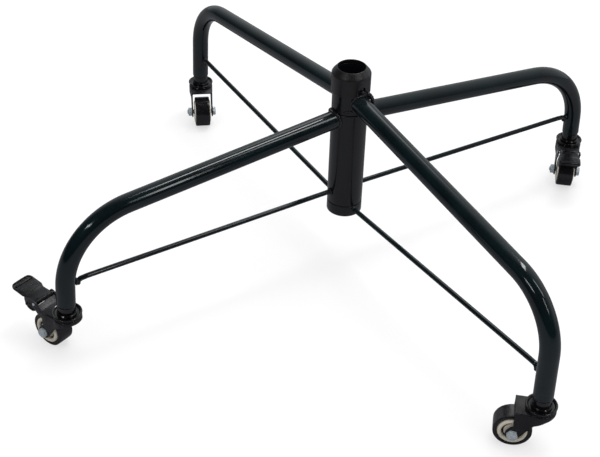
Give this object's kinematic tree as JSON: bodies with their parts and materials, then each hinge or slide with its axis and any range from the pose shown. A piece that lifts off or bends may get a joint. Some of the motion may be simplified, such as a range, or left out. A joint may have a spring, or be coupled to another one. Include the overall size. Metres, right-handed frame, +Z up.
{
  "type": "folding rolling pole stand",
  "caption": "Low folding stand on swivel casters: crossing bent tube legs, braced by thin rods, turn on an upright socket that takes a round pole.",
  "frame": {"origin": "centre of the pole seat at the bottom of the socket, on the socket axis", "axes": "+Z up along the socket, +X along one leg frame, +Y along the other leg frame at rest"},
  "size_m": [0.7988, 0.7984, 0.2698],
  "materials": {
    "paint": "glossy",
    "hub_paint": "satin",
    "cap_plastic": "satin",
    "caster_black": "glossy",
    "plug_plastic": "glossy",
    "tread": "satin",
    "core": "satin",
    "zinc": "satin"
  },
  "bodies": {
    "frame_a": {"socket_tube": "hub_paint", "collar": "hub_paint", "bottom_ring": "hub_paint", "pole_seat": "hub_paint", "cap": "cap_plastic", "leg_px": "paint", "leg_nx": "paint", "rod_px": "paint", "rod_nx": "paint", "cup_px": "caster_black", "stem_px": "plug_plastic", "cup_nx": "caster_black", "stem_nx": "plug_plastic"},
    "frame_b": {"sleeve": "hub_paint", "leg_py": "paint", "leg_ny": "paint", "rod_py": "paint", "rod_ny": "paint", "cup_py": "caster_black", "stem_py": "plug_plastic", "cup_ny": "caster_black", "stem_ny": "plug_plastic"},
    "caster_px": {"fork_px": "caster_black", "bolt_px": "zinc", "nut_px": "zinc", "bush_px": "zinc"},
    "wheel_px": {"tread_px": "tread", "core_px": "core"},
    "caster_nx": {"fork_nx": "caster_black", "bolt_nx": "zinc", "nut_nx": "zinc", "bush_nx": "zinc"},
    "wheel_nx": {"tread_nx": "tread", "core_nx": "core"},
    "caster_py": {"fork_py": "caster_black", "bolt_py": "zinc", "nut_py": "zinc", "bush_py": "zinc", "pedal_pin_py": "zinc"},
    "wheel_py": {"tread_py": "tread", "core_py": "core"},
    "pedal_py": {"pedal_py": "caster_black"},
    "caster_ny": {"fork_ny": "caster_black", "bolt_ny": "zinc", "nut_ny": "zinc", "bush_ny": "zinc", "pedal_pin_ny": "zinc"},
    "wheel_ny": {"tread_ny": "tread", "core_ny": "core"},
    "pedal_ny": {"pedal_ny": "caster_black"}
  },
  "joints": [
    {"name": "fold", "type": "hinge", "parent": "frame_a", "child": "frame_b", "pos_m": [0, 0, 0.07], "axis": [0, 0, 1], "range_deg": [-75, 75]},
    {"name": "swivel_px", "type": "hinge", "parent": "frame_a", "child": "caster_px", "pos_m": [0.3821, 0, -0.0274], "axis": [0, 0, 1], "continuous": true},
    {"name": "roll_px", "type": "hinge", "parent": "caster_px", "child": "wheel_px", "pos_m": [0.36505, -0.01962, -0.0568], "axis": [0.7547, -0.6561, 0], "continuous": true},
    {"name": "swivel_nx", "type": "hinge", "parent": "frame_a", "child": "caster_nx", "pos_m": [-0.3821, 0, -0.0274], "axis": [0, 0, 1], "continuous": true},
    {"name": "roll_nx", "type": "hinge", "parent": "caster_nx", "child": "wheel_nx", "pos_m": [-0.35835, -0.01057, -0.0568], "axis": [0.4067, 0.9135, 0], "continuous": true},
    {"name": "swivel_py", "type": "hinge", "parent": "frame_b", "child": "caster_py", "pos_m": [0, 0.3709, -0.0274], "axis": [0, 0, 1], "continuous": true},
    {"name": "roll_py", "type": "hinge", "parent": "caster_py", "child": "wheel_py", "pos_m": [0.01962, 0.35384, -0.0568], "axis": [0.6561, 0.7547, 0], "continuous": true},
    {"name": "brake_py", "type": "hinge", "parent": "caster_py", "child": "pedal_py", "pos_m": [0.02868, 0.34597, -0.022], "axis": [0.6561, 0.7547, 0], "range_deg": [0, 15]},
    {"name": "swivel_ny", "type": "hinge", "parent": "frame_b", "child": "caster_ny", "pos_m": [0, -0.3709, -0.0274], "axis": [0, 0, 1], "continuous": true},
    {"name": "roll_ny", "type": "hinge", "parent": "caster_ny", "child": "wheel_ny", "pos_m": [-0.02427, -0.38021, -0.0568], "axis": [0.3584, -0.9336, 0], "continuous": true},
    {"name": "brake_ny", "type": "hinge", "parent": "caster_ny", "child": "pedal_ny", "pos_m": [-0.03548, -0.38451, -0.022], "axis": [0.3584, -0.9336, 0], "range_deg": [0, 15]}
  ]
}
